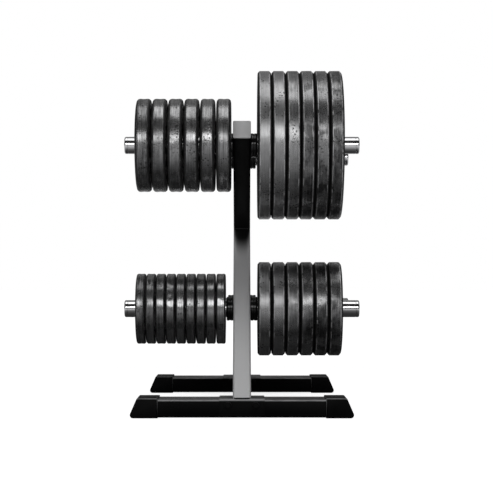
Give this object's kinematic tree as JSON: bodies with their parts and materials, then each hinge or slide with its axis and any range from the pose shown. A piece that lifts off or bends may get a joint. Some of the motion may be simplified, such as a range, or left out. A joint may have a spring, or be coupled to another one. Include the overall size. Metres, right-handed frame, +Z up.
{
  "type": "weight plate storage rack",
  "caption": "Free-standing X-shaped rack with chrome sleeves that holds stacks of iron weight plates, each of which slides off the end of its sleeve.",
  "frame": {"origin": "on the floor, in the middle of the rack's outline", "axes": "+Z up; -Y towards the end with the loaded sleeves; +X to the right as seen from there, along the sleeves"},
  "size_m": [0.6846, 1.0858, 0.9865],
  "materials": {
    "leg_paint_grey": "satin silver-grey powder coat",
    "arm_paint_black": "smooth black paint",
    "foot_paint_black": "satin black powder coat",
    "arm_cap_plastic": "satin light grey plastic",
    "foot_rubber": "black moulded rubber",
    "black_fasteners": "black oxide",
    "zinc_fasteners": "zinc plated",
    "shaft_steel": "bright drawn bar",
    "chrome": "polished chrome",
    "gloss_black": "gloss black",
    "cast_iron_top_left": "worn grey rim, black face",
    "cast_iron_top_right": "worn grey rim, black face",
    "cast_iron_bottom_left": "worn grey rim, black face",
    "cast_iron_bottom_right": "worn grey rim, black face"
  },
  "bodies": {
    "rack": {"long_diagonal_tube": "leg_paint_grey", "upper_front_tube": "arm_paint_black", "lower_back_tube": "arm_paint_black", "front_arm_cap": "arm_cap_plastic", "back_arm_cap": "arm_cap_plastic", "front_saddle": "foot_paint_black", "back_saddle": "foot_paint_black", "front_foot_tube": "foot_paint_black", "back_foot_tube": "foot_paint_black", "front_left_foot_cover": "foot_rubber", "front_right_foot_cover": "foot_rubber", "back_left_foot_cover": "foot_rubber", "back_right_foot_cover": "foot_rubber", "foot_bolts": "black_fasteners", "foot_nuts": "black_fasteners", "foot_washers": "black_fasteners", "front_top_shaft": "shaft_steel", "front_bottom_shaft": "shaft_steel", "back_top_shaft": "shaft_steel", "back_bottom_shaft": "shaft_steel", "front_top_left_sleeve": "chrome", "front_top_right_sleeve": "chrome", "front_bottom_left_sleeve": "chrome", "front_bottom_right_sleeve": "chrome", "back_top_left_sleeve": "chrome", "back_top_right_sleeve": "chrome", "back_bottom_left_sleeve": "chrome", "back_bottom_right_sleeve": "chrome", "front_stop_collars": "gloss_black", "back_stop_collars": "gloss_black", "front_sleeve_domes": "chrome", "back_sleeve_domes": "chrome", "sleeve_end_screws": "zinc_fasteners"},
    "top_left_plate_1": {"top_left_plate_1": "cast_iron_top_left"},
    "top_left_plate_2": {"top_left_plate_2": "cast_iron_top_left"},
    "top_left_plate_3": {"top_left_plate_3": "cast_iron_top_left"},
    "top_left_plate_4": {"top_left_plate_4": "cast_iron_top_left"},
    "top_left_plate_5": {"top_left_plate_5": "cast_iron_top_left"},
    "top_left_plate_6": {"top_left_plate_6": "cast_iron_top_left"},
    "top_right_plate_1": {"top_right_plate_1": "cast_iron_top_right"},
    "top_right_plate_2": {"top_right_plate_2": "cast_iron_top_right"},
    "top_right_plate_3": {"top_right_plate_3": "cast_iron_top_right"},
    "top_right_plate_4": {"top_right_plate_4": "cast_iron_top_right"},
    "top_right_plate_5": {"top_right_plate_5": "cast_iron_top_right"},
    "top_right_plate_6": {"top_right_plate_6": "cast_iron_top_right"},
    "bottom_left_plate_1": {"bottom_left_plate_1": "cast_iron_bottom_left"},
    "bottom_left_plate_2": {"bottom_left_plate_2": "cast_iron_bottom_left"},
    "bottom_left_plate_3": {"bottom_left_plate_3": "cast_iron_bottom_left"},
    "bottom_left_plate_4": {"bottom_left_plate_4": "cast_iron_bottom_left"},
    "bottom_left_plate_5": {"bottom_left_plate_5": "cast_iron_bottom_left"},
    "bottom_left_plate_6": {"bottom_left_plate_6": "cast_iron_bottom_left"},
    "bottom_left_plate_7": {"bottom_left_plate_7": "cast_iron_bottom_left"},
    "bottom_left_plate_8": {"bottom_left_plate_8": "cast_iron_bottom_left"},
    "bottom_left_plate_9": {"bottom_left_plate_9": "cast_iron_bottom_left"},
    "bottom_right_plate_1": {"bottom_right_plate_1": "cast_iron_bottom_right"},
    "bottom_right_plate_2": {"bottom_right_plate_2": "cast_iron_bottom_right"},
    "bottom_right_plate_3": {"bottom_right_plate_3": "cast_iron_bottom_right"},
    "bottom_right_plate_4": {"bottom_right_plate_4": "cast_iron_bottom_right"},
    "bottom_right_plate_5": {"bottom_right_plate_5": "cast_iron_bottom_right"},
    "bottom_right_plate_6": {"bottom_right_plate_6": "cast_iron_bottom_right"}
  },
  "joints": [
    {"name": "top_left_plate_1_slide", "type": "slide", "parent": "rack", "child": "top_left_plate_1", "axis": [-1, 0, 0], "range_m": [0, 0.314]},
    {"name": "top_left_plate_2_slide", "type": "slide", "parent": "top_left_plate_1", "child": "top_left_plate_2", "axis": [-1, 0, 0], "range_m": [0, 0.267]},
    {"name": "top_left_plate_3_slide", "type": "slide", "parent": "top_left_plate_2", "child": "top_left_plate_3", "axis": [-1, 0, 0], "range_m": [0, 0.221]},
    {"name": "top_left_plate_4_slide", "type": "slide", "parent": "top_left_plate_3", "child": "top_left_plate_4", "axis": [-1, 0, 0], "range_m": [0, 0.175]},
    {"name": "top_left_plate_5_slide", "type": "slide", "parent": "top_left_plate_4", "child": "top_left_plate_5", "axis": [-1, 0, 0], "range_m": [0, 0.128]},
    {"name": "top_left_plate_6_slide", "type": "slide", "parent": "top_left_plate_5", "child": "top_left_plate_6", "axis": [-1, 0, 0], "range_m": [0, 0.082]},
    {"name": "top_right_plate_1_slide", "type": "slide", "parent": "rack", "child": "top_right_plate_1", "axis": [1, 0, 0], "range_m": [0, 0.299]},
    {"name": "top_right_plate_2_slide", "type": "slide", "parent": "top_right_plate_1", "child": "top_right_plate_2", "axis": [1, 0, 0], "range_m": [0, 0.259]},
    {"name": "top_right_plate_3_slide", "type": "slide", "parent": "top_right_plate_2", "child": "top_right_plate_3", "axis": [1, 0, 0], "range_m": [0, 0.218]},
    {"name": "top_right_plate_4_slide", "type": "slide", "parent": "top_right_plate_3", "child": "top_right_plate_4", "axis": [1, 0, 0], "range_m": [0, 0.177]},
    {"name": "top_right_plate_5_slide", "type": "slide", "parent": "top_right_plate_4", "child": "top_right_plate_5", "axis": [1, 0, 0], "range_m": [0, 0.137]},
    {"name": "top_right_plate_6_slide", "type": "slide", "parent": "top_right_plate_5", "child": "top_right_plate_6", "axis": [1, 0, 0], "range_m": [0, 0.096]},
    {"name": "bottom_left_plate_1_slide", "type": "slide", "parent": "rack", "child": "bottom_left_plate_1", "axis": [-1, 0, 0], "range_m": [0, 0.298]},
    {"name": "bottom_left_plate_2_slide", "type": "slide", "parent": "bottom_left_plate_1", "child": "bottom_left_plate_2", "axis": [-1, 0, 0], "range_m": [0, 0.269]},
    {"name": "bottom_left_plate_3_slide", "type": "slide", "parent": "bottom_left_plate_2", "child": "bottom_left_plate_3", "axis": [-1, 0, 0], "range_m": [0, 0.24]},
    {"name": "bottom_left_plate_4_slide", "type": "slide", "parent": "bottom_left_plate_3", "child": "bottom_left_plate_4", "axis": [-1, 0, 0], "range_m": [0, 0.211]},
    {"name": "bottom_left_plate_5_slide", "type": "slide", "parent": "bottom_left_plate_4", "child": "bottom_left_plate_5", "axis": [-1, 0, 0], "range_m": [0, 0.182]},
    {"name": "bottom_left_plate_6_slide", "type": "slide", "parent": "bottom_left_plate_5", "child": "bottom_left_plate_6", "axis": [-1, 0, 0], "range_m": [0, 0.153]},
    {"name": "bottom_left_plate_7_slide", "type": "slide", "parent": "bottom_left_plate_6", "child": "bottom_left_plate_7", "axis": [-1, 0, 0], "range_m": [0, 0.124]},
    {"name": "bottom_left_plate_8_slide", "type": "slide", "parent": "bottom_left_plate_7", "child": "bottom_left_plate_8", "axis": [-1, 0, 0], "range_m": [0, 0.095]},
    {"name": "bottom_left_plate_9_slide", "type": "slide", "parent": "bottom_left_plate_8", "child": "bottom_left_plate_9", "axis": [-1, 0, 0], "range_m": [0, 0.066]},
    {"name": "bottom_right_plate_1_slide", "type": "slide", "parent": "rack", "child": "bottom_right_plate_1", "axis": [1, 0, 0], "range_m": [0, 0.299]},
    {"name": "bottom_right_plate_2_slide", "type": "slide", "parent": "bottom_right_plate_1", "child": "bottom_right_plate_2", "axis": [1, 0, 0], "range_m": [0, 0.259]},
    {"name": "bottom_right_plate_3_slide", "type": "slide", "parent": "bottom_right_plate_2", "child": "bottom_right_plate_3", "axis": [1, 0, 0], "range_m": [0, 0.218]},
    {"name": "bottom_right_plate_4_slide", "type": "slide", "parent": "bottom_right_plate_3", "child": "bottom_right_plate_4", "axis": [1, 0, 0], "range_m": [0, 0.177]},
    {"name": "bottom_right_plate_5_slide", "type": "slide", "parent": "bottom_right_plate_4", "child": "bottom_right_plate_5", "axis": [1, 0, 0], "range_m": [0, 0.137]},
    {"name": "bottom_right_plate_6_slide", "type": "slide", "parent": "bottom_right_plate_5", "child": "bottom_right_plate_6", "axis": [1, 0, 0], "range_m": [0, 0.096]}
  ]
}
